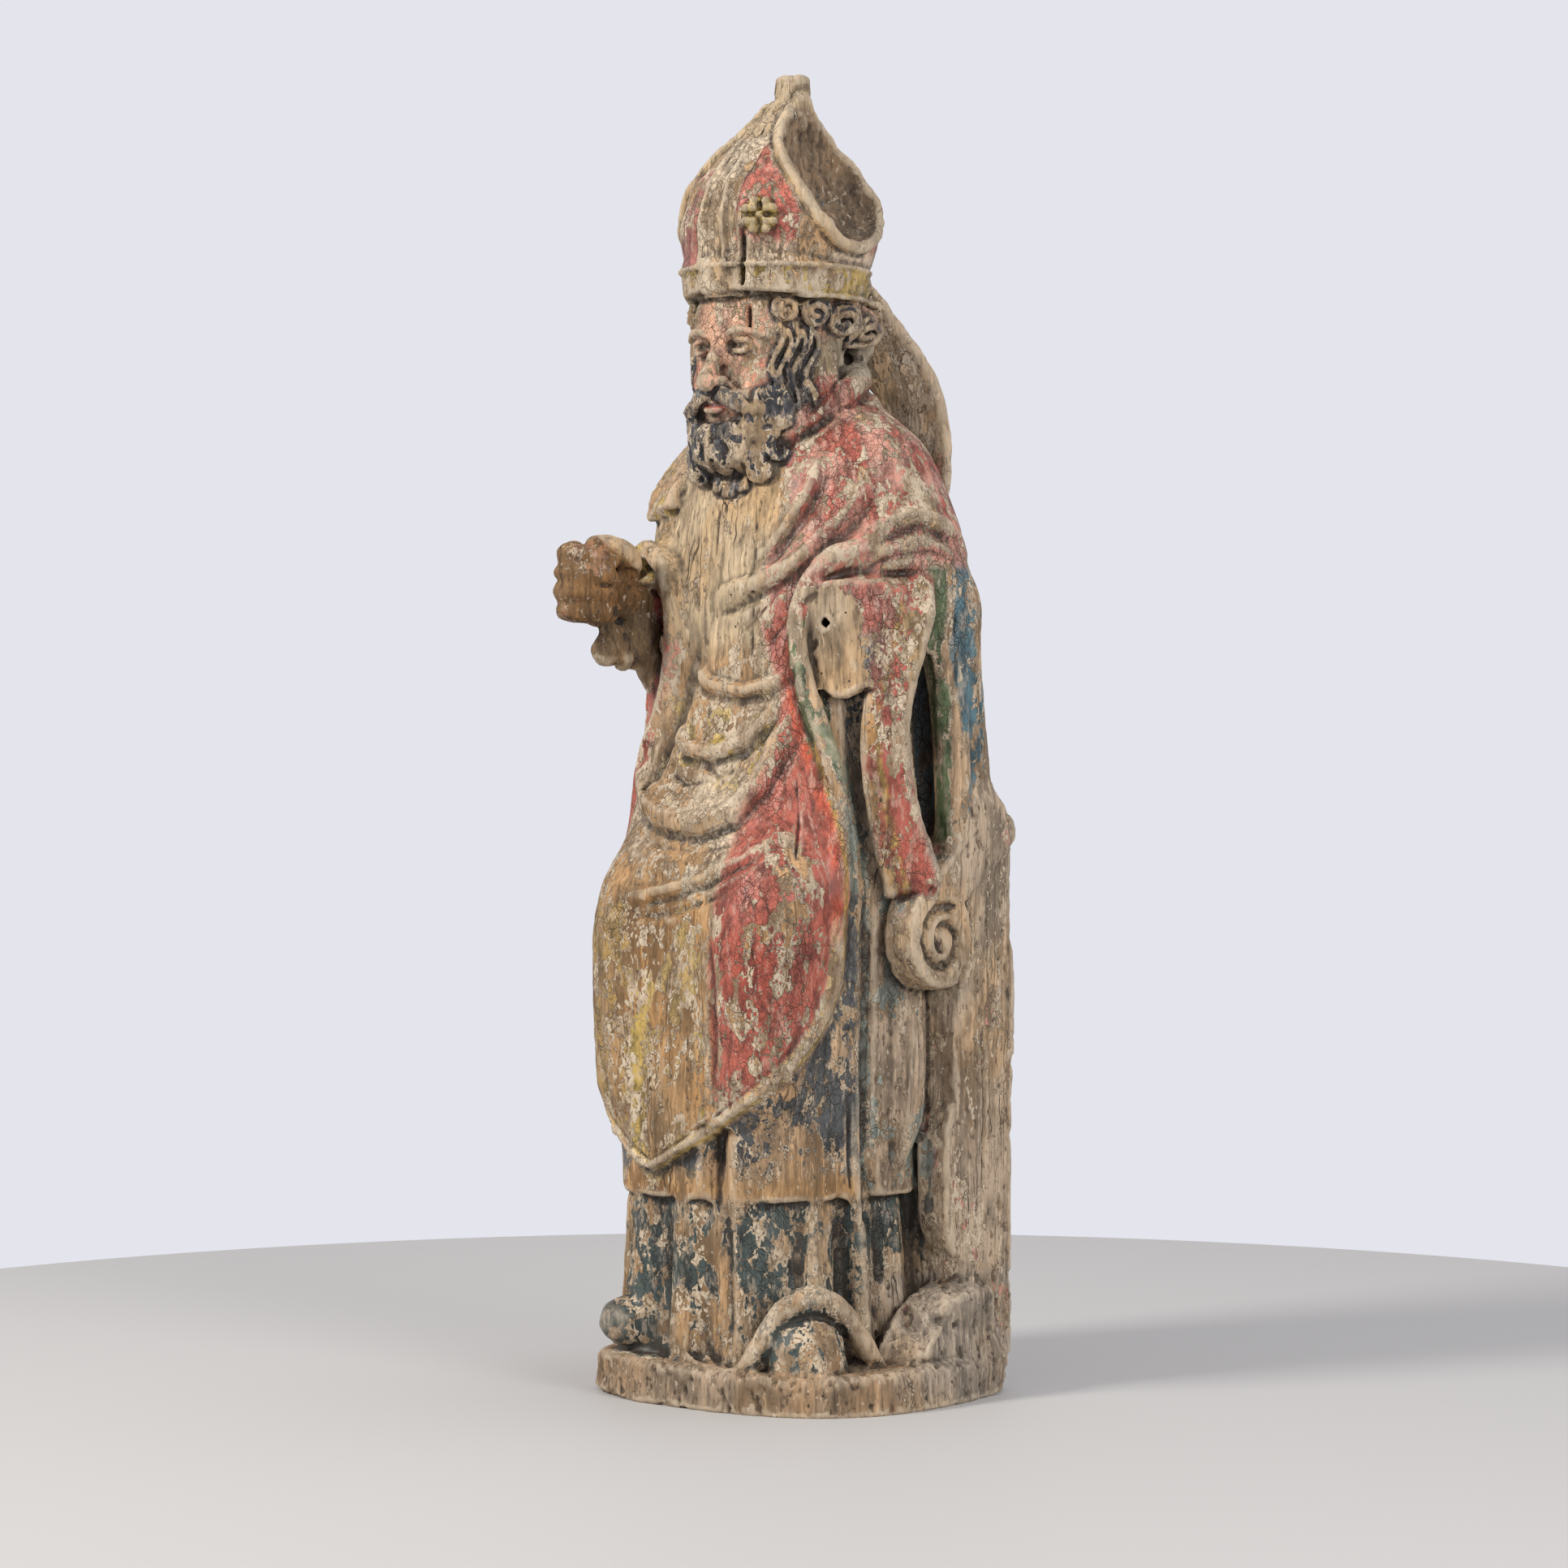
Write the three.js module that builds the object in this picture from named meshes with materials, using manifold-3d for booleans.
// A bishop saint, enthroned on a low scroll-armed chair: one solid, carved from one log.
// Millimetres, +Z up. The figure faces -Y and its left hand is at +X. The origin is on the
// underside of the plinth, below the middle of the figure.
//
// The log is a block of sample points that hold their distance to the wood's surface. Forms are
// added to it and cut out of it, as a carver would model the figure, and the surface that is left
// is pared down to flat facets. Heights of the carving are measured from the top of the plinth.
import * as THREE from "three";
import { mergeVertices } from "three/addons/utils/BufferGeometryUtils.js";
import { triTable } from "three/addons/objects/MarchingCubes.js";
import Module from "manifold-3d";

// Driving sizes.
const figureHeight = 970; // top of the plinth to the top of the mitre's knob
const plinthHeight = 30;
const plinthWidth = 288; // side to side
const plinthDepth = 256; // front to back
const plinthRound = 9; // wear on the plinth's upper edge
const chairWidth = 272; // outside of one arm to outside of the other
const chairDepth = 74; // the seat block behind the robe, front to back
const armThickness = 28;
const panelRecess = 5; // the chair's sides lie this far behind the scroll's face
const armHeight = 432; // the back end of the arm, above the plinth
const voluteRadius = 37;
const voluteHeight = 313; // the volute's eye, above the plinth
const pegHoleRadius = 4; // where the lost left hand was pegged on
const pegHoleDepth = 16;

const sampleStep = 4.2; // spacing of the block's sample points
const facetBudget = 9600;

// The pose is written for a figure 970 high, so that one number scales it.
const designHeight = 970;
const scale = figureHeight / designHeight;
const spot = (x, y, z) => new THREE.Vector3(x, y, z).multiplyScalar(scale);
const path = (...points) => points.map((p) => spot(...p));
const size = (value) => value * scale;

const figureMiddle = 5; // the body's axis lies this far behind the origin
const chairMiddle = 8; // the chair stands this far to the figure's left
const plinthMiddle = { x: 17, y: -17 };
const backPlane = 98; // the flat back of the log

// Joining rules: a blend rounds the seam between two forms over that width.
function blended(a, b, width) {
  const near = Math.max(width - Math.abs(a - b), 0);
  return Math.min(a, b) - (width > 0 ? (near * near) / (4 * width) : 0);
}

// The block of sample points.
const FAR = 40;
const spare = 3 * sampleStep;
const halfPlan = Math.max(plinthWidth / 2 + plinthMiddle.x, chairWidth / 2 + chairMiddle);
const low = new THREE.Vector3(
  Math.min(-134 * scale, plinthMiddle.x - plinthWidth / 2) - spare,
  Math.min(-160 * scale, plinthMiddle.y - plinthDepth / 2) - spare,
  -plinthHeight - spare,
);
const high = new THREE.Vector3(
  Math.max(150 * scale, halfPlan) + spare,
  Math.max(104 * scale, backPlane) + spare,
  figureHeight + spare,
);
const counts = ["x", "y", "z"].map((axis) => Math.ceil((high[axis] - low[axis]) / sampleStep) + 1);
const [nx, ny, nz] = counts;
const block = new Float32Array(nx * ny * nz).fill(FAR);
const indexOf = (i, j, k) => i + nx * (j + ny * k);

function visit(form, margin, change) {
  const from = form.low.map((v, n) => (v - margin - low.getComponent(n)) / sampleStep);
  const to = form.high.map((v, n) => (v + margin - low.getComponent(n)) / sampleStep);
  const [i0, j0, k0] = from.map((v) => Math.max(0, Math.floor(v)));
  const [i1, j1, k1] = to.map((v, n) => Math.min(counts[n] - 1, Math.ceil(v)));
  for (let k = k0; k <= k1; k++)
    for (let j = j0; j <= j1; j++)
      for (let i = i0; i <= i1; i++) {
        const x = low.x + i * sampleStep;
        const y = low.y + j * sampleStep;
        const z = low.z + k * sampleStep;
        const n = indexOf(i, j, k);
        block[n] = change(block[n], form.at(x, y, z));
      }
}

const reach = 2.5 * sampleStep;
const add = (form, blend = 0) =>
  visit(form, reach + blend, (wood, d) => blended(wood, d, blend));
const cut = (form, blend = 0) =>
  visit(form, reach + blend, (wood, d) => -blended(-wood, d, blend));

function distanceAt(p) {
  const at = [p.x - low.x, p.y - low.y, p.z - low.z].map((v) => v / sampleStep);
  const whole = at.map((v, n) => Math.min(counts[n] - 2, Math.max(0, Math.floor(v))));
  const part = at.map((v, n) => v - whole[n]);
  let sum = 0;
  for (let corner = 0; corner < 8; corner++) {
    const step = [corner & 1, (corner >> 1) & 1, corner >> 2];
    const weight = step.reduce((w, s, n) => w * (s ? part[n] : 1 - part[n]), 1);
    sum += weight * block[indexOf(whole[0] + step[0], whole[1] + step[1], whole[2] + step[2])];
  }
  return sum;
}

// The point of the surface in a direction from the body's axis, 0 degrees in front and 90 at the
// figure's left, at a height, and then sunk that deep into the wood.
function onSurface(degrees, height, sink = 0) {
  const angle = THREE.MathUtils.degToRad(degrees);
  const out = new THREE.Vector3(Math.sin(angle), -Math.cos(angle), 0);
  const axis = spot(0, figureMiddle, height);
  const p = new THREE.Vector3();
  let r = size(200);
  while (r > 0 && distanceAt(p.copy(axis).addScaledVector(out, r)) > 0) r -= 1;
  return axis.addScaledVector(out, r - size(sink));
}

// Forms. Each has the corners of its box, and its distance at a point.
function boxOf(points, grow) {
  const box = new THREE.Box3().setFromPoints(points).expandByScalar(grow);
  return { low: box.min.toArray(), high: box.max.toArray() };
}

function egg(centre, radii, turn = [0, 0, 0]) {
  const [a, b, c] = radii.map(size);
  const euler = new THREE.Euler(...turn.map((t) => THREE.MathUtils.degToRad(t)));
  const back = new THREE.Matrix4().makeRotationFromEuler(euler).invert();
  const e = back.elements;
  return {
    ...boxOf([centre], Math.max(a, b, c)),
    at(x, y, z) {
      const dx = x - centre.x;
      const dy = y - centre.y;
      const dz = z - centre.z;
      const u = (e[0] * dx + e[4] * dy + e[8] * dz) / a;
      const v = (e[1] * dx + e[5] * dy + e[9] * dz) / b;
      const w = (e[2] * dx + e[6] * dy + e[10] * dz) / c;
      const near = Math.hypot(u, v, w);
      const slope = Math.hypot(u / a, v / b, w / c);
      return slope > 1e-9 ? (near * (near - 1)) / slope : -Math.min(a, b, c);
    },
  };
}

// A round bar through the points, as thick at each as its radius says.
function roll(points, radii, steps = 0) {
  const curve = new THREE.CatmullRomCurve3(points, false, "centripetal");
  const line = steps ? curve.getPoints(steps) : points;
  const thick = line.map((_, n) => {
    const along = (n / (line.length - 1)) * (radii.length - 1);
    const k = Math.min(radii.length - 2, Math.floor(along));
    return size(
      radii.length === 1 ? radii[0] : THREE.MathUtils.lerp(radii[k], radii[k + 1], along - k),
    );
  });
  return {
    ...boxOf(line, Math.max(...thick)),
    at(x, y, z) {
      let nearest = Infinity;
      for (let n = 0; n + 1 < line.length; n++) {
        const p = line[n];
        const q = line[n + 1];
        const ex = q.x - p.x;
        const ey = q.y - p.y;
        const ez = q.z - p.z;
        const along = ((x - p.x) * ex + (y - p.y) * ey + (z - p.z) * ez) / (ex * ex + ey * ey + ez * ez);
        const t = Math.min(1, Math.max(0, along));
        const d = Math.hypot(x - p.x - t * ex, y - p.y - t * ey, z - p.z - t * ez);
        nearest = Math.min(nearest, d - thick[n] - t * (thick[n + 1] - thick[n]));
      }
      return nearest;
    },
  };
}

// A strip of cloth or board: its middle line, the way its width runs at each point, and half of
// its width and thickness.
function strip(points, across, halfWidths, halfThick, steps = 32) {
  const curve = new THREE.CatmullRomCurve3(points, false, "centripetal");
  const ways = new THREE.CatmullRomCurve3(across, false, "centripetal");
  const line = curve.getPoints(steps);
  const wide = line.map((_, n) => {
    const along = line[Math.min(steps, n + 1)].clone().sub(line[Math.min(steps - 1, n)]).normalize();
    const way = ways.getPoint(n / steps);
    return way.addScaledVector(along, -way.dot(along)).normalize();
  });
  const half = line.map((_, n) => {
    const along = (n / steps) * (halfWidths.length - 1);
    const k = Math.min(halfWidths.length - 2, Math.floor(along));
    return size(THREE.MathUtils.lerp(halfWidths[k], halfWidths[k + 1], along - k));
  });
  const thick = size(halfThick);
  return {
    ...boxOf(line, Math.max(...half) + thick),
    at(x, y, z) {
      let nearest = Infinity;
      for (let n = 0; n + 1 < line.length; n++) {
        const p = line[n];
        const q = line[n + 1];
        const ex = q.x - p.x;
        const ey = q.y - p.y;
        const ez = q.z - p.z;
        const along = ((x - p.x) * ex + (y - p.y) * ey + (z - p.z) * ez) / (ex * ex + ey * ey + ez * ez);
        const t = Math.min(1, Math.max(0, along));
        const dx = x - p.x - t * ex;
        const dy = y - p.y - t * ey;
        const dz = z - p.z - t * ez;
        const w = wide[n];
        const side = dx * w.x + dy * w.y + dz * w.z;
        const rest = Math.sqrt(Math.max(0, dx * dx + dy * dy + dz * dz - side * side));
        const over = Math.max(0, Math.abs(side) - half[n] - t * (half[n + 1] - half[n]));
        nearest = Math.min(nearest, Math.hypot(over, rest) - thick);
      }
      return nearest;
    },
  };
}

function board(centre, halves, round, turn = [0, 0, 0]) {
  const [a, b, c] = halves;
  const euler = new THREE.Euler(...turn.map((t) => THREE.MathUtils.degToRad(t)));
  const e = new THREE.Matrix4().makeRotationFromEuler(euler).invert().elements;
  return {
    ...boxOf([centre], Math.hypot(a, b, c)),
    at(x, y, z) {
      const dx = x - centre.x;
      const dy = y - centre.y;
      const dz = z - centre.z;
      const u = Math.abs(e[0] * dx + e[4] * dy + e[8] * dz) - a + round;
      const v = Math.abs(e[1] * dx + e[5] * dy + e[9] * dz) - b + round;
      const w = Math.abs(e[2] * dx + e[6] * dy + e[10] * dz) - c + round;
      const outside = Math.hypot(Math.max(u, 0), Math.max(v, 0), Math.max(w, 0));
      return outside + Math.min(Math.max(u, v, w), 0) - round;
    },
  };
}

// A disc whose axis runs from side to side.
function disc(centre, radius, halfLength, round) {
  return {
    ...boxOf([centre], Math.max(radius, halfLength)),
    at(x, y, z) {
      const r = Math.hypot(y - centre.y, z - centre.z) - radius + round;
      const s = Math.abs(x - centre.x) - halfLength + round;
      return Math.hypot(Math.max(r, 0), Math.max(s, 0)) + Math.min(Math.max(r, s), 0) - round;
    },
  };
}

// A form with one side sliced off, flat, at a point and facing a way.
function sliced(form, point, way) {
  const n = way.clone().normalize();
  return {
    low: form.low,
    high: form.high,
    at: (x, y, z) =>
      Math.max(form.at(x, y, z), (x - point.x) * n.x + (y - point.y) * n.y + (z - point.z) * n.z),
  };
}

// A standing body of rounded section. Each station is its height, then the middle from side to
// side, half the width, how far it comes forward and goes back, and how square its corners are.
function column(stations, foldDepth = () => 0) {
  const list = stations.map(([z, middle, half, front, back, square]) => [
    ...[z, middle, half, front, back].map(size),
    square,
  ]);
  const first = list[0];
  const last = list[list.length - 1];
  const widest = Math.max(...list.map((s) => s[2] + Math.abs(s[1])));
  const deepest = Math.max(...list.map((s) => Math.max(s[3], s[4])));
  const found = [0, 0, 0, 0, 0, 0];
  const slope = (n, m) => {
    const a = list[Math.max(0, n - 1)];
    const b = list[Math.min(list.length - 1, n + 1)];
    return (b[m] - a[m]) / (b[0] - a[0]);
  };
  const slopes = list.map((_, n) => [0, 1, 2, 3, 4, 5].map((m) => slope(n, m)));
  let at = NaN;
  function sectionAt(z) {
    if (z === at) return;
    at = z;
    const height = Math.min(last[0], Math.max(first[0], z));
    let n = 0;
    while (n < list.length - 2 && height > list[n + 1][0]) n++;
    const span = list[n + 1][0] - list[n][0];
    const t = (height - list[n][0]) / span;
    for (let m = 1; m < 6; m++) {
      const [p, q] = [list[n][m], list[n + 1][m]];
      const [u, v] = [slopes[n][m] * span, slopes[n + 1][m] * span];
      found[m] = p + t * (u + t * (3 * (q - p) - 2 * u - v + t * (2 * (p - q) + u + v)));
    }
  }
  return {
    low: [-widest, -deepest, first[0]],
    high: [widest, deepest + size(figureMiddle), last[0]],
    at(x, y, z) {
      sectionAt(z);
      const [, middle, half, front, back, square] = found;
      const dx = x - middle;
      const dy = y - size(figureMiddle);
      const depth = dy < 0 ? front : back;
      const share =
        (Math.abs(dx / half) ** square + Math.abs(dy / depth) ** square) ** (1 / square);
      const radius = Math.hypot(dx, dy);
      const degrees = THREE.MathUtils.radToDeg(Math.atan2(dx, -dy));
      const wall = share > 0.05 ? radius * (1 - 1 / share) * 0.9 : -half / 2;
      const side = wall - size(foldDepth(degrees, z / scale));
      return Math.max(side, z - last[0], first[0] - z);
    },
  };
}

const smooth = THREE.MathUtils.smoothstep;
const hump = (value, middle, width) => {
  const t = Math.abs(value - middle) / width;
  return t < 1 ? (1 - t * t) ** 2 : 0;
};

// The plinth and the chair.
function carvePlinth() {
  const width = plinthWidth / 2;
  const depth = plinthDepth / 2;
  const squareness = 2.7;
  const below = plinthHeight + 2 * sampleStep;
  add({
    low: [plinthMiddle.x - width, plinthMiddle.y - depth, -below],
    high: [plinthMiddle.x + width, plinthMiddle.y + depth, 0],
    at(x, y, z) {
      const [u, v] = [Math.abs(x - plinthMiddle.x), Math.abs(y - plinthMiddle.y)];
      const share = ((u / width) ** squareness + (v / depth) ** squareness) ** (1 / squareness);
      const edge = Math.hypot(u, v) * (1 - 1 / Math.max(share, 0.05)) + plinthRound;
      const top = z + plinthRound - 4 * hump(x - y, 90, 130);
      const outside = Math.hypot(Math.max(edge, 0), Math.max(top, 0));
      return Math.max(outside + Math.min(Math.max(edge, top), 0) - plinthRound, -below - z);
    },
  });
}

function carveSeatBlock() {
  const foot = 4;
  const top = armHeight - 30;
  const middle = new THREE.Vector3(chairMiddle, backPlane - chairDepth / 2, (foot + top) / 2);
  add(board(middle, [chairWidth / 2 - 3, chairDepth / 2, (top - foot) / 2], 22), 6);
  const footing = new THREE.Vector3(chairMiddle, backPlane - 36, 0);
  add(board(footing, [chairWidth / 2 - 24, 36, 50], 16), 4);
}

// The front of the chair's leg, from the foot up: a lip over the foot, a swelling, a neck.
const legProfile = [
  [0, 30], [52, 34], [68, 33], [84, 21], [108, 14], [154, 14], [204, 26], [250, 30], [300, 27],
];
function legFront(z) {
  let n = 0;
  while (n < legProfile.length - 2 && z > legProfile[n + 1][0]) n++;
  const [[z0, y0], [z1, y1]] = [legProfile[n], legProfile[n + 1]];
  const t = THREE.MathUtils.clamp((z - z0) / (z1 - z0), 0, 1);
  return THREE.MathUtils.lerp(y0, y1, t * t * (3 - 2 * t));
}

// The back of the log is flat up to the seat, and planed back to a shallow rebate lower down.
const rebateTop = 206;
const rebateDepth = 5;
function flattenBack() {
  const away = 30;
  const levels = [[armHeight - 34, 0], [rebateTop, rebateDepth]];
  for (const [top, depth] of levels) {
    const half = (top + 90) / 2;
    const middle = new THREE.Vector3(0, backPlane + away - depth, top - half);
    cut(board(middle, [halfPlan + 60, away, half], 1));
  }
}

// A chair side seen from beyond the arm: its parts are drawn by height above the plinth and by
// how far back they lie, and are as thick as the arm.
function carveChairArm(side) {
  const x = chairMiddle + (side * (chairWidth - armThickness)) / 2;
  const half = armThickness / 2;
  const eye = new THREE.Vector3(x, 6, voluteHeight);
  const rise = armHeight - voluteHeight;
  // The arm sweeps up from the front of the volute to the back of the chair, and broadens.
  const armLine = [
    [-20, 0.12],
    [-6, 0.26],
    [14, 0.33],
    [34, 0.45],
    [52, 0.62],
    [66, 0.72],
    [76, 0.66],
  ].map(([y, share]) => new THREE.Vector3(x, y, voluteHeight + share * rise));
  const limb = roll(armLine, [11, 15, 18, 20, 22, 22, 18], 14);
  add({
    low: [x - half, armLine[0].y - 30, voluteHeight - 30],
    high: [x + half, backPlane, armHeight + 20],
    at(px, py, pz) {
      const edges = [limb.at(x, py, pz) + 3, Math.abs(px - x) - half + 3];
      return Math.hypot(...edges.map((e) => Math.max(e, 0))) + Math.min(Math.max(...edges), 0) - 3;
    },
  }, 2);
  add(disc(eye, voluteRadius, half, 4), 2);
  // The side panel, and the leg's front: a recessed neck, a swelling, a lip and the rough foot.
  const inner = x - side * panelRecess;
  const legTop = voluteHeight - 20;
  add({
    low: [inner - half, 0, 0],
    high: [inner + half, backPlane, legTop],
    at(px, py, pz) {
      const front = (legFront(pz) - py) * 0.9;
      const sideFace = Math.abs(px - inner) - half;
      const edges = Math.hypot(Math.max(front + 3, 0), Math.max(sideFace + 3, 0)) - 3;
      const body = edges + Math.min(Math.max(front + 3, sideFace + 3), 0);
      return Math.max(body, py - backPlane, pz - legTop - Math.max(0, py - 40), -2 - pz);
    },
  }, 2);
  const panel = new THREE.Vector3(inner, (backPlane + 52) / 2, armHeight / 2 - 22);
  add(board(panel, [half, (backPlane - 52) / 2, armHeight / 2 - 22], 7), 3);
  // The foot is left as rough rock: a rounded front, a heel, and a bulge beyond the plinth.
  const rock = new THREE.Vector3(inner + side * 6, 34, -20);
  const rockRadius = 76;
  const chops = [
    [0, 1, 0, 24],
    [side * 0.25, -0.75, 0.6, 69],
    [side * 0.4, -0.1, 0.9, 72],
    [side * 0.3, -0.95, 0.05, 72],
  ];
  const boulder = chops.reduce((form, [u, v, w, out]) => {
    const way = new THREE.Vector3(u, v, w).normalize();
    return sliced(form, rock.clone().addScaledVector(way, out), way);
  }, disc(rock, rockRadius, half + 7, 10));
  add(boulder, 4);
  add(board(new THREE.Vector3(inner, 44, 8), [half, 40, 40], 11), 5);
  add(egg(new THREE.Vector3(x + side * 3, 56, -8), [22 / scale, 32 / scale, 30 / scale]), 8);
  // The volute's spiral, sunk in its outer face.
  const face = x + side * half;
  const spiral = [];
  for (let turn = 0; turn <= 1.6; turn += 0.1) {
    const angle = side * (turn * 2 * Math.PI) + 1.2;
    const r = voluteRadius * (0.74 - 0.36 * turn);
    spiral.push(new THREE.Vector3(face, eye.y + r * Math.cos(angle), eye.z + r * Math.sin(angle)));
  }
  cut(roll(spiral, [5.5, 4]), 1);
}

// Cloth.
const albStations = [
  [-12, -5, 113, 134, 90, 2.6],
  [40, -5, 111, 131, 90, 2.6],
  [140, -5, 105, 127, 90, 2.6],
];

// The alb's tube folds: where each crest stands round the body, how wide and how proud it is.
const albCrests = [
  [-84, 9, 8],
  [-60, 13, 7],
  [-37, 10, 6],
  [-20, 9, 8],
  [2, 10, 12],
  [26, 12, 11],
  [49, 8, 12],
  [67, 8, 13],
  [88, 9, 8],
];
const albFolds = (degrees, z) => {
  const spread = 1 - smooth(z, 0, 90) * 0.25;
  return albCrests.reduce((sum, [at, wide, proud]) => {
    return sum + proud * spread * hump(degrees, at, wide);
  }, -6);
};

const robeStations = [
  [122, -4, 110, 133, 94, 2.5],
  [220, -3, 109, 134, 95, 2.5],
  [300, -1, 109, 135, 95, 2.5],
  [350, 0, 109, 127, 95, 2.5],
  [400, 0, 109, 108, 94, 2.4],
  [450, 0, 110, 88, 92, 2.4],
  [540, 1, 112, 76, 90, 2.4],
  [610, 2, 110, 70, 88, 2.3],
  [655, 2, 102, 62, 83, 2.2],
  [690, 3, 82, 50, 72, 2.1],
  [718, 3, 56, 38, 55, 2],
  [752, 2, 34, 28, 38, 2],
];

// The chasuble's lower edge: a point in front, a little to the figure's right, then a long curve
// up to the forearms. This is how far round the body, in degrees, it lies to each side.
const pointAt = -9;
const edgeSpread = (z) => {
  const share = Math.min(1, Math.max(0, (z - 142) / 170));
  return 66 * (1 - (1 - share) ** 2.2) - 17 * smooth(z, 360, 540);
};

const robeFolds = (degrees, z) => {
  const fromPoint = Math.abs(degrees - pointAt);
  const spread = edgeSpread(z);
  const chasuble = z > 142 ? 1 - smooth(fromPoint, spread - 1, spread + 1.5) : 0;
  const cloth = 9 * Math.max(chasuble, smooth(z, 520, 560));
  const betweenShins = -13 * hump(degrees, 15, 6) * (1 - smooth(z, 165, 185));
  const betweenKnees = -6 * hump(degrees, 2, 22) * hump(z, 290, 120);
  const behind = 180 - Math.abs(degrees);
  const backFolds = hump(behind, 15, 10) + hump(behind, 44, 12);
  const hung = smooth(z, 390, 430) * (1 - smooth(z, 590, 660));
  return cloth + betweenShins + betweenKnees + 5 * backFolds * hung;
};

function carveRobes() {
  add(column(albStations, albFolds));
  add(column(robeStations, robeFolds), 2);
  // Knees and shins push the cloth forward.
  add(roll(path([56, -40, 358], [66, -98, 345], [62, -106, 215]), [38, 38, 28], 8), 26);
  add(roll(path([-56, -40, 352], [-62, -92, 340], [-64, -104, 215]), [38, 38, 30], 8), 26);
}

function carveShoulders() {
  add(roll(path([72, 10, 655], [98, 18, 610], [112, 32, 560]), [46, 42, 34]), 24);
  add(roll(path([-70, 8, 655], [-88, 8, 610], [-96, 12, 560]), [44, 40, 34]), 24);
  // The back of the cloak falls from the left elbow to the chair.
  add(roll(path([112, 40, 560], [113, 54, 470], [117, 60, 390]), [30, 26, 27]), 14);
  add(roll(path([-94, 28, 560], [-92, 46, 470], [-94, 52, 390]), [32, 30, 28]), 16);
}

function carveRightSleeve() {
  // The cloak is caught up over the forearm, open in front.
  add(roll(path([-94, 10, 558], [-86, -20, 562], [-76, -48, 562]), [36, 34, 36]), 12);
  cut(roll(path([-80, -24, 556], [-82, -60, 552], [-84, -92, 548]), [16, 27, 31]), 4);
  // Its free edge goes round the wrist and falls to the lap, with a deep groove beside it.
  const groove = path(
    [-25, -86, 560], [-27, -86, 540], [-35, -85, 500], [-58, -85, 452], [-64, -90, 425],
  );
  cut(roll(groove, [5, 9, 10, 9, 5], 8), 4);
  const edge = path(
    [-118, -40, 566], [-112, -50, 596], [-92, -62, 608], [-68, -72, 600], [-52, -78, 574],
    [-48, -80, 540], [-60, -77, 496], [-88, -68, 450], [-98, -65, 405], [-94, -82, 358],
  );
  add(roll(edge, [7, 9, 9, 9, 9, 8, 7, 7, 7, 8], 24), 4);
  // The wrist, with the torn frill of the alb's sleeve below it.
  add(roll(path([-86, -20, 562], [-88, -70, 566], [-88, -100, 572]), [17, 17, 15]), 3);
  const frill = [
    { at: spot(-86, -78, 549), radii: [15, 17, 24], turn: [24, 0, 0] },
    { at: spot(-92, -104, 543), radii: [9, 11, 10], turn: [20, 0, 20] },
    { at: spot(-92, -110, 530), radii: [11, 12, 11], turn: [0, 0, 20] },
    { at: spot(-90, -92, 528), radii: [9, 12, 12], turn: [0, 0, 20] },
    { at: spot(-84, -66, 518), radii: [11, 13, 28], turn: [34, 0, 0] },
  ];
  for (const { at, radii, turn } of frill) add(egg(at, radii, turn), 5);
}

// The fist once closed round a staff: four fingers stacked, the thumb on top of them.
function carveFist() {
  add(egg(spot(-93, -118, 578), [18, 25, 29], [8, 0, 10]), 3);
  const fingers = [
    [602, 9.5, 0],
    [589, 9.5, 3],
    [575, 9.5, 4],
    [562, 9, 2],
  ];
  for (const [z, thick, ahead] of fingers) {
    const line = path(
      [-104, -132 - ahead, z + 2], [-94, -148 - ahead, z], [-77, -147 - ahead, z - 2],
      [-67, -133 - ahead, z - 3],
    );
    add(roll(line, [thick, thick, thick, thick - 1.5], 8), 1.5);
  }
  const thumb = path([-84, -104, 586], [-72, -108, 598], [-68, -124, 606], [-76, -138, 608]);
  add(roll(thumb, [11, 11, 10, 8.5], 8), 2);
  cut(egg(spot(-66, -112, 580), [7, 8, 15]), 3);
}

const wrist = spot(98, -66, 540);
const wristFacing = new THREE.Vector3(0.2, -0.95, -0.12).normalize();

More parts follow.
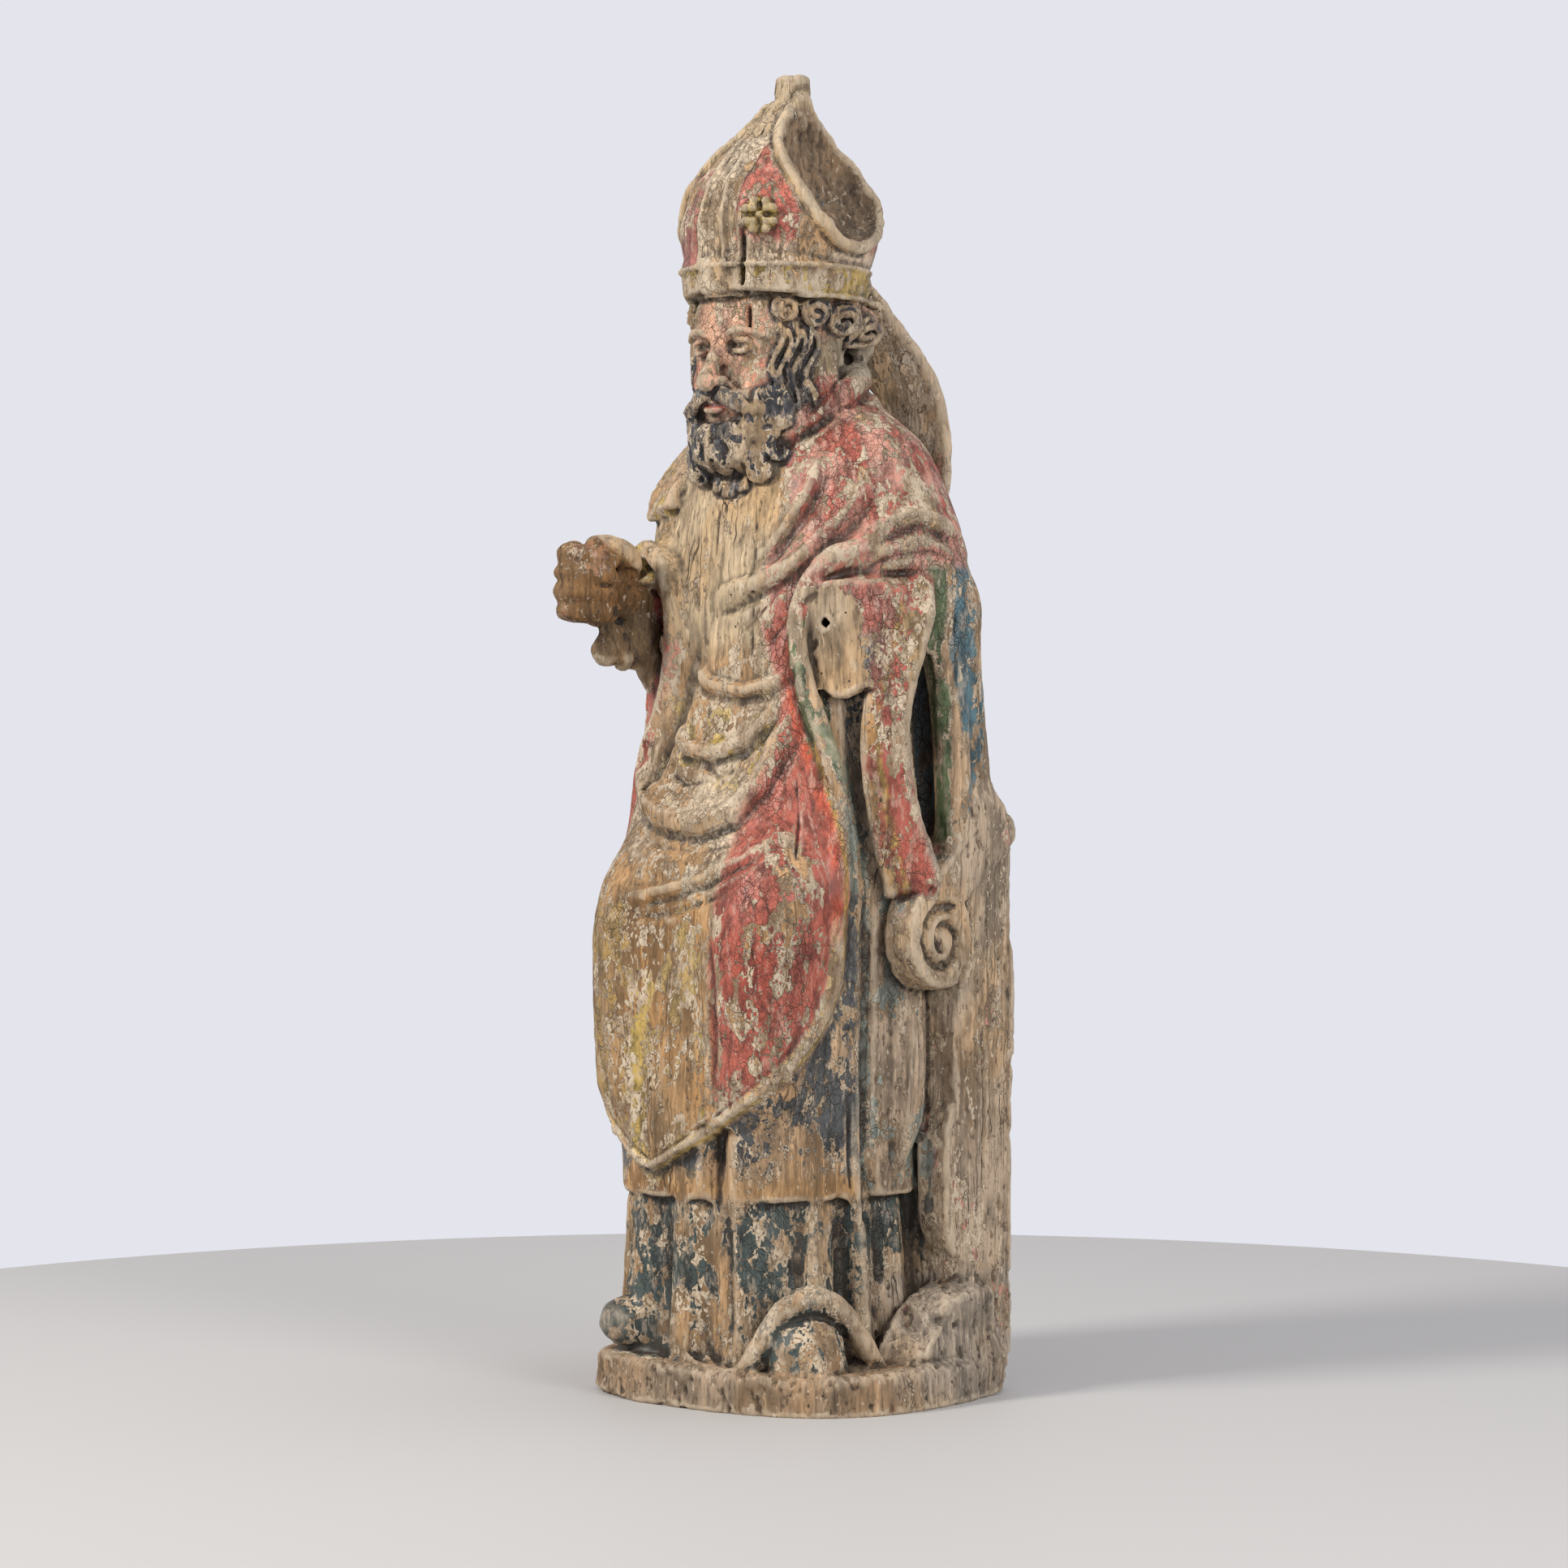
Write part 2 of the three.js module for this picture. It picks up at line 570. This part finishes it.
function carveLeftArm() {
  // The hollow under the lifted cloak, in front of its lining, runs in behind the front edge.
  const hollow = path([126, -20, 556], [128, -18, 500], [131, -16, 440], [130, -16, 392]);
  cut(roll(hollow, [33, 32, 27, 18], 8), 5);
  const behindEdge = path([104, -42, 520], [106, -40, 470], [110, -38, 410], [114, -40, 352]);
  cut(roll(behindEdge, [16, 17, 15, 8], 8), 4);
  const deep = path([106, -6, 536], [108, -4, 480], [114, -2, 430], [122, 2, 396]);
  cut(roll(deep, [18, 20, 18, 12], 8), 4);
  // The rolled front edge of the cloak, from the shoulder round the forearm and down to the lap.
  const edge = path(
    [130, 14, 606], [112, -30, 607], [90, -60, 598], [70, -74, 562], [74, -74, 506],
    [92, -68, 455], [100, -64, 405], [103, -68, 350],
  );
  add(roll(edge, [9, 9, 9, 8, 8, 8, 8, 9], 22), 6);
  // The forearm, cut off flat where the lost hand was pegged on.
  const top = roll(path([112, 34, 570], [105, -16, 562], [94, -84, 554]), [34, 27, 24]);
  const under = roll(path([110, 30, 552], [103, -16, 528], [95, -84, 512]), [30, 24, 23]);
  // The axe left it with three flats: the end, the underside and the flank.
  const underFlat = new THREE.Vector3(-0.35, -0.6, -0.72);
  const flankFlat = new THREE.Vector3(0.86, -0.5, 0.05);
  for (const limb of [top, under]) {
    const ended = sliced(limb, wrist, wristFacing);
    const chopped = sliced(ended, spot(95, -58, 491), underFlat);
    add(sliced(chopped, spot(115, -52, 536), flankFlat), 2);
  }
  // The cloak's lining hangs behind the slot as a fold of its own.
  const lining = path([116, 16, 592], [126, 25, 550], [130, 29, 500], [132, 31, 440], [133, 32, 384]);
  add(roll(lining, [12, 14, 14, 14, 13], 10), 6);
  const slot = path([118, 0, 548], [120, 8, 500], [121, 10, 440], [125, 12, 396]);
  cut(roll(slot, [10, 11, 10, 7], 8), 2);
  cut(roll(slot.map((p) => p.clone().add(spot(-13, 15, 0))), [9, 10, 9, 5], 8), 2);
  // The dalmatic's sleeve hangs over the forearm in front of the slot and ends on the arm.
  const hang = path(
    [118, -8, 586], [127, -17, 562], [125, -32, 510], [123, -40, 460], [127, -32, 405],
    [134, -20, 356],
  );
  const across = hang.map(() => new THREE.Vector3(0.76, 0.64, 0));
  add(strip(hang, across, [12, 15, 12, 11, 13, 16], 6), 3);
}

function carveFrontFalls() {
  // The free tail of cloth between the leg and the chair's left leg.
  for (const side of [1, -1]) {
    const fall = path(
      [104 * side, 4, 330], [106 * side, 6, 240], [105 * side, 4, 180], [100 * side, 0, 150],
    );
    add(roll(fall, [14, 17, 16, 10], 8), 5);
    const crease = path(
      [105 * side, -40, 340], [106 * side, -40, 280], [105 * side, -38, 200],
      [102 * side, -32, 110],
    );
    cut(roll(crease, [4, 6, 6, 8], 8), 3);
  }
}

// Folds laid on the cloth: each is a line of places round the body, its thickness at them, and
// how deep it is bedded.
const foldRolls = [
  // Across the chest, from the left shoulder to the waist.
  { line: [[69, 650], [56, 624], [39, 594], [9, 575], [-10, 566]], thick: [8, 11, 11, 9, 5], bed: 4 },
  { line: [[52, 668], [42, 640], [30, 612], [22, 600]], thick: [6, 8, 7, 4], bed: 3 },
  { line: [[-62, 640], [-46, 606], [-31, 570], [-26, 545]], thick: [6, 10, 10, 6], bed: 4 },
  // Over the lifted arm.
  { line: [[60, 606], [72, 622], [84, 632], [96, 622], [104, 604]], thick: [6, 8, 9, 9, 7], bed: 4 },
  // Swags over the belly.
  { line: [[-22, 520], [-6, 506], [14, 500], [30, 506], [40, 524]], thick: [4, 7, 8, 8, 6], bed: 3 },
  {
    line: [[-28, 474], [-14, 458], [0, 454], [15, 462], [26, 478], [36, 500]],
    thick: [6, 9, 10, 9, 8, 6],
    bed: 4,
  },
  {
    line: [
      [-52, 440], [-35, 420], [-16, 406], [4, 401], [16, 411], [25, 432], [31, 456], [38, 484],
      [43, 508],
    ],
    thick: [9, 12, 13, 13, 13, 12, 10, 9, 7],
    bed: 4,
  },
  // Over the lap and down between the knees.
  { line: [[-22, 344], [-5, 352], [12, 364], [24, 377], [36, 394]], thick: [5, 8, 8, 8, 5], bed: 4 },
  { line: [[-2, 330], [-3, 280], [-5, 220], [-7, 176]], thick: [4, 6, 6, 4], bed: 3 },
  { line: [[-26, 330], [-24, 270], [-22, 210], [-19, 170]], thick: [4, 5, 5, 4], bed: 3 },
];

function carveFolds() {
  for (const { line, thick, bed } of foldRolls) {
    const points = line.map(([degrees, z]) => onSurface(degrees, z, bed));
    add(roll(points, thick, 12), 7);
  }
}

function carveFeet() {
  // The right shoe shows its toe; the alb breaks over the left one in a hood.
  add(roll(path([-50, -94, 30], [-61, -124, 26]), [24, 18]), 5);
  add(egg(spot(97, -99, 8), [30, 26, 38], [0, 0, 45]), 4);
  const hood = path(
    [62, -133, -3], [74, -127, 15], [90, -116, 44], [106, -102, 54], [116, -86, 46],
    [119, -68, 28], [124, -52, 2],
  );
  add(roll(hood, [5, 7, 9, 10, 9, 8, 6], 16), 4);
}

// The head, a plain one. Its face is set out by the old canon: three equal parts from hairline to
// chin, parted at the brow and under the nose, and five eyes wide.
const headMiddle = { x: -3, y: -22, z: 762 };
const hairline = 806;
const chinHeight = 688;
const faceWidth = 96;
const facePart = (hairline - chinHeight) / 3;
const browHeight = hairline - facePart;
const noseHeight = chinHeight + facePart;
const eyeHeight = browHeight - facePart / 5;
const mouthHeight = noseHeight - facePart / 3;
const eyeWidth = faceWidth / 5;
const faceDepth = 60; // from the middle of the head to between the brows

function carveHead() {
  const { x, y, z } = headMiddle;
  add(roll(path([3, 4, 690], [0, -8, 740]), [38, 37]), 8);
  add(egg(spot(x, y, z + 8), [56, 61, 80]), 4);
  add(egg(spot(x, y - 22, z - 42), [40, 34, 38]), 12);
  const front = y - faceDepth;
  for (const side of [-1, 1]) {
    const out = (share) => x + side * share * eyeWidth;
    const brow = [
      spot(out(0.35), front + 4, browHeight), spot(out(1), front + 3, browHeight + 3),
      spot(out(1.9), front + 15, browHeight),
    ];
    cut(egg(spot(out(0.95), front - 2, eyeHeight), [11, 10, 8]), 5);
    add(roll(brow, [4.5, 5.5, 4.5], 6), 4);
    add(egg(spot(out(1), front + 13, eyeHeight), [9, 9, 7.5]), 1);
    add(egg(spot(out(1.25), front + 20, noseHeight + 6), [14, 13, 13]), 8);
    add(egg(spot(out(0.42), front - 3, noseHeight + 3), [6, 8, 5]), 2);
  }
  const bridge = spot(x, front + 3, browHeight - 3);
  const tip = spot(x, front - 13, noseHeight + 4);
  add(roll([bridge, bridge.clone().lerp(tip, 0.55), tip], [5.5, 5.5, 7.5]), 4);
  add(egg(spot(x, front + 4, mouthHeight), [15, 9, 7]), 3);
}

// Locks: each is a bead of hair, and together they make the beard's curled mass.
function carveBeard() {
  const { x, z } = headMiddle;
  add(egg(spot(x, -54, 700), [41, 28, 32]), 8);
  for (const side of [-1, 1]) {
    const across = (out) => x + side * out;
    const whiskers = path([across(50), -12, z + 4], [across(48), -24, z - 30], [across(38), -44, z - 62]);
    add(roll(whiskers, [10, 14, 17], 6), 6);
    const fork = path([across(20), -64, 690], [across(28), -62, 668], [across(30), -60, 656]);
    add(roll(fork, [16, 12, 7]), 4);
  }
  // The curls lie in rows, and each row is set between the curls of the one above.
  const rows = [
    [724, 6, 38, 8],
    [708, 7, 40, 8.5],
    [693, 6, 38, 9],
    [678, 5, 33, 9],
  ];
  for (const [height, locks, width, thick] of rows) {
    for (let n = 0; n < locks; n++) {
      const across = ((n + 0.5) / locks - 0.5) * 2;
      if (height > 700 && Math.abs(across) < 0.3) continue;
      const depth = 77 - across ** 2 * 34;
      const lift = across * across * 8;
      const curl = [
        spot(x + across * width - 5 * Math.sign(across), -depth, height + 6 + lift),
        spot(x + across * width + 3 * Math.sign(across), -depth - 3, height + lift),
        spot(x + across * width - 2 * Math.sign(across), -depth, height - 7 + lift),
      ];
      add(roll(curl, [thick * 0.7, thick, thick * 0.75]), 1.5);
    }
  }
  for (const side of [-1, 1]) {
    const moustache = path(
      [x + side * 32, -68, 708], [x + side * 16, -82, 720], [x + side * 2, -86, 725],
    );
    add(roll(moustache, [6, 7, 4], 6), 3);
  }
}

function carveHair() {
  for (const side of [-1, 1]) {
    add(egg(spot(side * 50 - 2, -24, 790), [12, 14, 13]), 3);
    add(egg(spot(side * 54 - 2, 0, 784), [13, 16, 16]), 3);
    add(egg(spot(side * 50 - 2, 24, 778), [13, 16, 17]), 3);
    add(egg(spot(side * 34 - 2, 40, 768), [16, 12, 18]), 4);
  }
}

// The mitre leans back, and its sides belly out. Each station is a height above the rim with half
// the width and half the depth there; a scoop in each side parts the two horns.
const mitreFoot = { x: -2, y: -17, z: 795 };
const mitreLean = 0.07;
const rimBand = 26; // height of the band round the brow
const orphreyWidth = 22; // the band up the middle of the front horn
const mitreStations = [
  [0, 64, 70],
  [22, 68, 73],
  [52, 74, 79],
  [82, 68, 72],
  [106, 52, 55],
  [128, 31, 34],
  [146, 17, 18],
  [152, 13, 14],
];
const mitreSpan = (h, m) => {
  let n = 0;
  while (n < mitreStations.length - 2 && h > mitreStations[n + 1][0]) n++;
  const [below, above] = [mitreStations[n], mitreStations[n + 1]];
  const t = THREE.MathUtils.clamp((h - below[0]) / (above[0] - below[0]), 0, 1);
  return THREE.MathUtils.lerp(below[m], above[m], (t + t * t * (3 - 2 * t)) / 2);
};

function carveMitre() {
  const { x, y, z } = mitreFoot;
  const tip = mitreStations[mitreStations.length - 1][0];
  const dome = {
    low: [size(x - 76), size(y - 84), size(z - 8)],
    high: [size(x + 76), size(y + 100), size(z + tip)],
    at(px, py, pz) {
      const h = pz / scale - z + (py / scale - y) * mitreLean;
      const u = px / scale - x - 4 * smooth(h, 10, 140);
      const v = py / scale - y - Math.max(0, h) * mitreLean;
      const [a, b] = [mitreSpan(h, 1), mitreSpan(h, 2)];
      const band = h < rimBand ? 2.5 : 0;
      const share = Math.hypot(u / a, v / b);
      const side = Math.hypot(u, v) * (1 - 1 / Math.max(share, 0.05)) * 0.85 - band;
      return size(Math.max(side, h - tip, -h));
    },
  };
  add(dome, 1);
  for (const side of [-1, 1]) {
    const middle = spot(x + 4 + side * 61, y + 7, z + 104);
    const lean = [0, side * -25, 0];
    const hollow = egg(middle, [44, 48, 64], lean);
    const lip = egg(middle, [53, 58, 74], lean);
    add({
      low: dome.low,
      high: dome.high,
      at: (px, py, pz) => Math.max(dome.at(px, py, pz) - size(3.5), lip.at(px, py, pz)),
    }, 2);
    cut(hollow, 2);
  }
  const orphreyFace = 2.5;
  add({
    low: dome.low,
    high: dome.high,
    at(px, py, pz) {
      const proud = dome.at(px, py, pz) - size(orphreyFace);
      return Math.max(proud, Math.abs(px - size(x)) - size(orphreyWidth / 2), py - size(y));
    },
  }, 1);
  // The knob is a worn stub, flat on top.
  const knob = roll(path([x + 8, y + 10, z + 144], [x + 8, y + 12, z + 168]), [15, 13]);
  add(sliced(knob, spot(0, 0, figureHeight / scale), new THREE.Vector3(0, 0, 1)), 2);
}

// The two bands that hang from the mitre: one bows out behind the left shoulder, the other
// comes forward over the right one and is broken off there.
function carveLappets() {
  const left = path(
    [10, 44, 812], [33, 64, 768], [54, 76, 732], [64, 80, 692], [68, 76, 650], [68, 68, 622],
  );
  const leftWays = left.map((_, n) => new THREE.Vector3(1, 0.25 - n * 0.12, 0));
  add(strip(left, leftWays, [20, 23, 24, 24, 24, 24], 4.5), 4);
  const right = path(
    [-30, 42, 800], [-52, 44, 756], [-70, 24, 712], [-80, -16, 690], [-84, -44, 660],
    [-84, -54, 640],
  );
  const rightWays = right.map((_, n) => new THREE.Vector3(1, -0.2 - n * 0.05, 0.3));
  add(strip(right, rightWays, [16, 18, 20, 20, 20, 19], 5), 4);
}

function carveCollar() {
  const collar = path(
    [-22, -52, 690], [-44, -34, 706], [-50, 0, 726], [-30, 34, 742], [4, 46, 746],
    [36, 36, 744], [54, 4, 730], [46, -32, 706], [24, -54, 688],
  );
  add(roll(collar, [7, 10, 11, 10, 10, 10, 12, 11, 8], 24), 3);
}

carvePlinth();
carveSeatBlock();
carveChairArm(1);
carveChairArm(-1);
carveRobes();
carveShoulders();
carveFolds();
carveLeftArm();
carveFrontFalls();
carveRightSleeve();
carveFeet();
flattenBack();
carveCollar();
carveHead();
carveBeard();
carveHair();
carveMitre();
carveLappets();
carveFist();

// Nothing reaches the block's own faces, so that the surface closes.
for (let k = 0; k < nz; k++)
  for (let j = 0; j < ny; j++)
    for (let i = 0; i < nx; i++) {
      const atFace = i === 0 || j === 0 || k === 0 || i === nx - 1 || j === ny - 1 || k === nz - 1;
      if (atFace) block[indexOf(i, j, k)] = FAR;
    }

// The surface of the wood, found cube by cube between the sample points.
function surfaceOfBlock() {
  const corners = [
    [0, 0, 0], [1, 0, 0], [1, 1, 0], [0, 1, 0], [0, 0, 1], [1, 0, 1], [1, 1, 1], [0, 1, 1],
  ];
  const edges = [
    [0, 1], [1, 2], [3, 2], [0, 3], [4, 5], [5, 6], [7, 6], [4, 7], [0, 4], [1, 5], [2, 6],
    [3, 7],
  ];
  const edgeAxis = [0, 1, 0, 1, 0, 1, 0, 1, 2, 2, 2, 2];
  const vertexOf = new Map();
  const positions = [];
  const triangles = [];
  const stride = [1, nx, nx * ny];
  const offsets = corners.map(([i, j, k]) => i + nx * (j + ny * k));
  function vertexOn(base, edge) {
    const [a, b] = edges[edge];
    const from = base + offsets[a];
    const key = from * 3 + edgeAxis[edge];
    let found = vertexOf.get(key);
    if (found !== undefined) return found;
    const [da, db] = [block[from], block[base + offsets[b]]];
    const t = Math.min(0.98, Math.max(0.02, da / (da - db)));
    const k = Math.floor(from / stride[2]);
    const j = Math.floor((from - k * stride[2]) / nx);
    const p = [from - k * stride[2] - j * nx, j, k];
    p[edgeAxis[edge]] += t;
    found = positions.length / 3;
    positions.push(...p.map((v, n) => low.getComponent(n) + v * sampleStep));
    vertexOf.set(key, found);
    return found;
  }
  for (let k = 0; k + 1 < nz; k++)
    for (let j = 0; j + 1 < ny; j++)
      for (let i = 0; i + 1 < nx; i++) {
        const base = indexOf(i, j, k);
        let pattern = 0;
        for (let n = 0; n < 8; n++) if (block[base + offsets[n]] > 0) pattern |= 1 << n;
        if (pattern === 0 || pattern === 255) continue;
        for (let n = pattern * 16; triTable[n] !== -1; n += 3) {
          const face = [triTable[n], triTable[n + 1], triTable[n + 2]].map((e) => vertexOn(base, e));
          triangles.push(...face);
        }
      }
  return { positions, triangles };
}

// Pares a closed mesh down to a number of facets. Each vertex keeps the planes that it stands
// for, and the edge whose loss moves the surface least goes first. Detail is worth more in the
// face and the hand.
function paredDown({ positions, triangles }, facets, worth) {
  const vertexCount = positions.length / 3;
  const P = Float64Array.from(positions);
  const T = Int32Array.from(triangles);
  const Q = new Float64Array(vertexCount * 10);
  const fans = Array.from({ length: vertexCount }, () => []);
  const age = new Int32Array(vertexCount);
  const gone = new Uint8Array(vertexCount);
  const dropped = new Uint8Array(T.length / 3);
  const normalOf = (a, b, c) => {
    const [ax, ay, az] = [P[a * 3], P[a * 3 + 1], P[a * 3 + 2]];
    const [ux, uy, uz] = [P[b * 3] - ax, P[b * 3 + 1] - ay, P[b * 3 + 2] - az];
    const [vx, vy, vz] = [P[c * 3] - ax, P[c * 3 + 1] - ay, P[c * 3 + 2] - az];
    return [uy * vz - uz * vy, uz * vx - ux * vz, ux * vy - uy * vx];
  };
  for (let f = 0; f < T.length / 3; f++) {
    const [a, b, c] = [T[f * 3], T[f * 3 + 1], T[f * 3 + 2]];
    const n = normalOf(a, b, c);
    const length = Math.hypot(...n) || 1e-12;
    const [x, y, z] = n.map((v) => v / length);
    const d = -(x * P[a * 3] + y * P[a * 3 + 1] + z * P[a * 3 + 2]);
    const plane = [x * x, x * y, x * z, x * d, y * y, y * z, y * d, z * z, z * d, d * d];
    const weight = length * worth(P[a * 3], P[a * 3 + 1], P[a * 3 + 2]);
    for (const v of [a, b, c]) {
      fans[v].push(f);
      for (let m = 0; m < 10; m++) Q[v * 10 + m] += plane[m] * weight;
    }
  }
  const costAt = (q, x, y, z) =>
    q[0] * x * x + 2 * q[1] * x * y + 2 * q[2] * x * z + 2 * q[3] * x + q[4] * y * y +
    2 * q[5] * y * z + 2 * q[6] * y + q[7] * z * z + 2 * q[8] * z + q[9];
  // The queue: a binary heap of edges, cheapest on top. An entry is stale once either end moves.
  const heap = [];
  function push(entry) {
    let n = heap.push(entry) - 1;
    while (n > 0) {
      const up = (n - 1) >> 1;
      if (heap[up].cost <= entry.cost) break;
      heap[n] = heap[up];
      n = up;
    }
    heap[n] = entry;
  }
  function pop() {
    const top = heap[0];
    const entry = heap.pop();
    const count = heap.length;
    if (!count) return top;
    let n = 0;
    for (;;) {
      let next = 2 * n + 1;
      if (next >= count) break;
      if (next + 1 < count && heap[next + 1].cost < heap[next].cost) next++;
      if (heap[next].cost >= entry.cost) break;
      heap[n] = heap[next];
      n = next;
    }
    heap[n] = entry;
    return top;
  }
  const q = new Float64Array(10);
  function consider(u, v) {
    for (let m = 0; m < 10; m++) q[m] = Q[u * 10 + m] + Q[v * 10 + m];
    const middle = [0, 1, 2].map((m) => (P[u * 3 + m] + P[v * 3 + m]) / 2);
    const [a, b, c, d, e, f] = [q[0], q[1], q[2], q[4], q[5], q[7]];
    const det = a * (d * f - e * e) - b * (b * f - c * e) + c * (b * e - c * d);
    const trace = a + d + f;
    let best = middle;
    if (Math.abs(det) > 1e-4 * trace ** 3) {
      const [r, s, t] = [-q[3], -q[6], -q[8]];
      const solved = [
        (r * (d * f - e * e) + s * (c * e - b * f) + t * (b * e - c * d)) / det,
        (r * (c * e - b * f) + s * (a * f - c * c) + t * (b * c - a * e)) / det,
        (r * (b * e - c * d) + s * (b * c - a * e) + t * (a * d - b * b)) / det,
      ];
      const away = Math.hypot(...solved.map((v, m) => v - middle[m]));
      if (away < 4 * sampleStep) best = solved;
    }
    const span = Math.hypot(...[0, 1, 2].map((m) => P[u * 3 + m] - P[v * 3 + m]));
    const cost = Math.max(0, costAt(q, ...best)) + 1e-4 * span * span * trace;
    push({ cost, u, v, stamp: age[u] + age[v], best });
  }
  const neighboursOf = (v) => {
    const found = new Set();
    for (const f of fans[v]) for (let m = 0; m < 3; m++) found.add(T[f * 3 + m]);
    found.delete(v);
    return found;
  };
  function turnsOver(v, other, best) {
    for (const f of fans[v]) {
      const face = [T[f * 3], T[f * 3 + 1], T[f * 3 + 2]];
      if (face.includes(other)) continue;
      const before = normalOf(...face);
      const [x, y, z] = [P[v * 3], P[v * 3 + 1], P[v * 3 + 2]];
      P.set(best, v * 3);
      const after = normalOf(...face);
      P.set([x, y, z], v * 3);
      const dot = before[0] * after[0] + before[1] * after[1] + before[2] * after[2];
      if (dot < 0.35 * Math.hypot(...before) * Math.hypot(...after)) return true;
    }
    return false;
  }
  for (let v = 0; v < vertexCount; v++) for (const w of neighboursOf(v)) if (v < w) consider(v, w);
  let left = T.length / 3;
  while (left > facets && heap.length) {
    const { u, v, stamp, best } = pop();
    if (gone[u] || gone[v] || stamp !== age[u] + age[v]) continue;
    const [nearU, nearV] = [neighboursOf(u), neighboursOf(v)];
    let shared = 0;
    for (const w of nearU) if (nearV.has(w)) shared++;
    if (shared !== 2 || turnsOver(u, v, best) || turnsOver(v, u, best)) continue;
    P.set(best, u * 3);
    for (let m = 0; m < 10; m++) Q[u * 10 + m] += Q[v * 10 + m];
    gone[v] = 1;
    for (const f of fans[v]) {
      const face = [T[f * 3], T[f * 3 + 1], T[f * 3 + 2]];
      if (face.includes(u)) {
        dropped[f] = 1;
        left--;
      } else {
        T[f * 3 + face.indexOf(v)] = u;
        fans[u].push(f);
      }
    }
    fans[u] = fans[u].filter((f) => !dropped[f]);
    const near = neighboursOf(u);
    for (const w of near) fans[w] = fans[w].filter((f) => !dropped[f]);
    age[u] += age[v] + 1;
    for (const w of near) consider(Math.min(u, w), Math.max(u, w));
  }
  const kept = [];
  for (let f = 0; f < dropped.length; f++) {
    if (!dropped[f]) kept.push(T[f * 3], T[f * 3 + 1], T[f * 3 + 2]);
  }
  return { positions: P, triangles: kept };
}

const worth = (x, y, z) => {
  const hand = Math.hypot(x + size(88), y + size(125), z - size(580)) < size(50);
  const face = z > size(640) && z < size(800) && y < 0;
  return hand || face ? 5 : z > size(640) ? 2 : 1;
};

// A geometry as a solid, and back.
function solidOf(wasm, geometry) {
  const vertProperties = Float32Array.from(geometry.attributes.position.array);
  const triVerts = Uint32Array.from(geometry.index.array);
  return new wasm.Manifold(new wasm.Mesh({ numProp: 3, vertProperties, triVerts }));
}

function welded(geometry) {
  const bare = new THREE.BufferGeometry();
  bare.setAttribute("position", geometry.getAttribute("position"));
  bare.setIndex(geometry.index);
  return mergeVertices(bare, 1e-3);
}

function geometryOf(solid) {
  const { vertProperties, triVerts } = solid.getMesh();
  const geometry = new THREE.BufferGeometry();
  geometry.setAttribute("position", new THREE.BufferAttribute(vertProperties, 3));
  geometry.setIndex(new THREE.BufferAttribute(triVerts, 1));
  geometry.computeVertexNormals();
  return geometry;
}

const wasm = await Module();
wasm.setup();

const pared = paredDown(surfaceOfBlock(), facetBudget, worth);
const rough = new THREE.BufferGeometry();
rough.setAttribute("position", new THREE.Float32BufferAttribute(pared.positions, 3));
rough.setIndex(pared.triangles);
rough.translate(0, 0, plinthHeight);

// The underside is sawn off flat.
const sawDepth = 60;
const saw = new THREE.BoxGeometry(2 * plinthWidth, 2 * plinthWidth, sawDepth);
saw.translate(0, 0, -sawDepth / 2);
let carved = solidOf(wasm, rough);
if (carved.volume() < 0) {
  rough.setIndex([...pared.triangles].reverse());
  carved = solidOf(wasm, rough);
}
carved = carved.subtract(solidOf(wasm, welded(saw)));

// The peg's hole in the left wrist.
const clear = 6;
const pegSides = 16;
const pegLength = pegHoleDepth + clear;
const peg = new THREE.CylinderGeometry(pegHoleRadius, pegHoleRadius, pegLength, pegSides);
peg.translate(0, (clear - pegHoleDepth) / 2, 0);
const upright = new THREE.Vector3(0, 1, 0);
peg.applyQuaternion(new THREE.Quaternion().setFromUnitVectors(upright, wristFacing));
const mouth = wrist.clone().add(spot(-8, 0, 10));
peg.translate(mouth.x, mouth.y, mouth.z + plinthHeight);
carved = carved.subtract(solidOf(wasm, welded(peg)));
const pieces = carved.decompose().sort((a, b) => b.volume() - a.volume());

const wood = new THREE.MeshStandardMaterial({ color: 0xa08a68, roughness: 0.8, metalness: 0 });
const statue = new THREE.Mesh(geometryOf(pieces[0]), wood);
statue.name = "seated_bishop_statue";

const model = new THREE.Group();
model.add(statue);
export default model;
